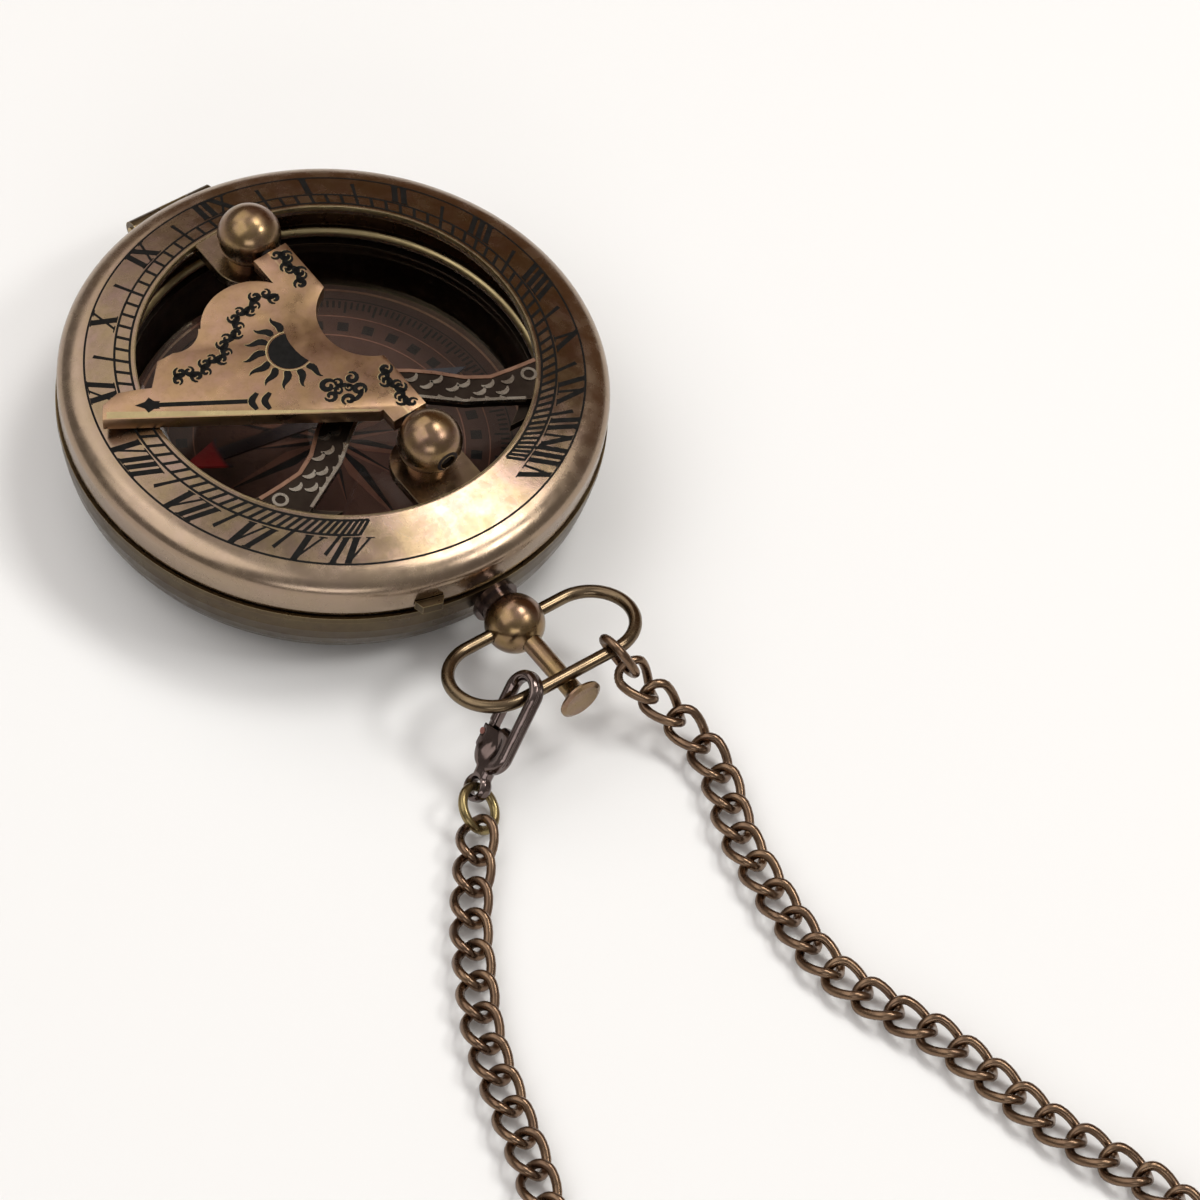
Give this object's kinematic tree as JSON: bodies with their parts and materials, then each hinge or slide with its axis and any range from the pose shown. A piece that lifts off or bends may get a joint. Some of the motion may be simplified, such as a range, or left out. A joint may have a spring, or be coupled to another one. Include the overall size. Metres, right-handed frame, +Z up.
{
  "type": "pocket sundial compass",
  "caption": "Round brass pocket compass with a hinged sundial lid, a folding gnomon, a button catch, a bow, and a chain with a clasp.",
  "frame": {"origin": "middle of the flat base that the case rests on", "axes": "+Z up out of the dial, +Y towards the lid hinge (the noon end), +X to the right seen from the pendant"},
  "size_m": [0.0852, 0.1897, 0.0267],
  "materials": {
    "case_brass": "antiqued",
    "lid_brass": "satin, worn edges",
    "dark_brass": "blackened",
    "brass": "satin",
    "card": "printed card, matt",
    "needle_red": "gloss",
    "needle_blue": "gloss",
    "glass": "clear",
    "bezel_brass": "satin",
    "post_brass": "satin, antiqued",
    "steel": "bright wire",
    "chain_brass": "antiqued",
    "ring_brass": "satin",
    "clasp_metal": "antiqued grey-brown",
    "rivet_metal": "worn"
  },
  "bodies": {
    "case": {"case_cup": "case_brass", "inner_wall": "dark_brass", "dial_plate": "brass", "dial_card": "card", "needle_pivot": "brass", "glass": "glass", "bezel_ring": "bezel_brass", "case_knuckles": "case_brass", "hinge_pin": "brass", "pendant_neck": "dark_brass", "pendant_ball": "post_brass", "button_spring": "steel"},
    "lid": {"lid_ring": "lid_brass", "lid_knuckle": "case_brass", "lid_keeper": "lid_brass", "thumb_nib": "lid_brass", "bracket": "dark_brass", "north_post": "post_brass", "south_post": "post_brass"},
    "gnomon": {"gnomon_plate": "lid_brass", "north_pivot_pin": "dark_brass", "south_pivot_pin": "dark_brass"},
    "needle": {"needle_north": "needle_red", "needle_south": "needle_blue", "needle_cap": "brass"},
    "button": {"push_button": "post_brass", "catch_hook": "brass"},
    "bow": {"bow": "post_brass"},
    "chain": {"first_link": "chain_brass", "chain_right": "chain_brass", "chain_far": "chain_brass", "chain_left": "chain_brass", "jump_ring": "ring_brass", "clasp_body": "clasp_metal", "clasp_rivet": "rivet_metal", "clasp_spring": "steel"},
    "lever": {"clasp_lever": "clasp_metal"}
  },
  "joints": [
    {"name": "lid_hinge", "type": "hinge", "parent": "case", "child": "lid", "pos_m": [0, 0.0342, 0.0115], "axis": [-1, 0, 0], "range_deg": [0, 105]},
    {"name": "gnomon_fold", "type": "hinge", "parent": "lid", "child": "gnomon", "pos_m": [0, 0, 0.0229], "axis": [0, 1, 0], "range_deg": [0, 96.4]},
    {"name": "needle_spin", "type": "hinge", "parent": "case", "child": "needle", "pos_m": [0, 0, 0.0079], "axis": [0, 0, 1], "continuous": true},
    {"name": "button_push", "type": "slide", "parent": "case", "child": "button", "axis": [0, 1, 0], "range_m": [0, 0.0008], "stiffness_N_per_m": 600, "springref_m": -0.0008, "deforming": ["button_spring"]},
    {"name": "bow_swing", "type": "hinge", "parent": "case", "child": "bow", "pos_m": [0, -0.037, 0.009], "axis": [-1, 0, 0], "range_deg": [0, 50]},
    {"name": "chain_level", "type": "hinge", "parent": "bow", "child": "chain", "pos_m": [0, -0.04739, 0.01108], "axis": [-1, 0, 0], "range_deg": [-50, 0]},
    {"name": "clasp_lever_hinge", "type": "hinge", "parent": "chain", "child": "lever", "pos_m": [-0.01044, -0.04661, 0.0066], "axis": [0.7499, -0.2389, -0.6169], "range_deg": [0, 20], "stiffness_Nm_per_rad": 0.0004, "springref_deg": -5.73, "deforming": ["clasp_spring"]}
  ],
  "couplings": [
    {"joint": "chain_level", "follows": "bow_swing", "ratio": -1}
  ]
}
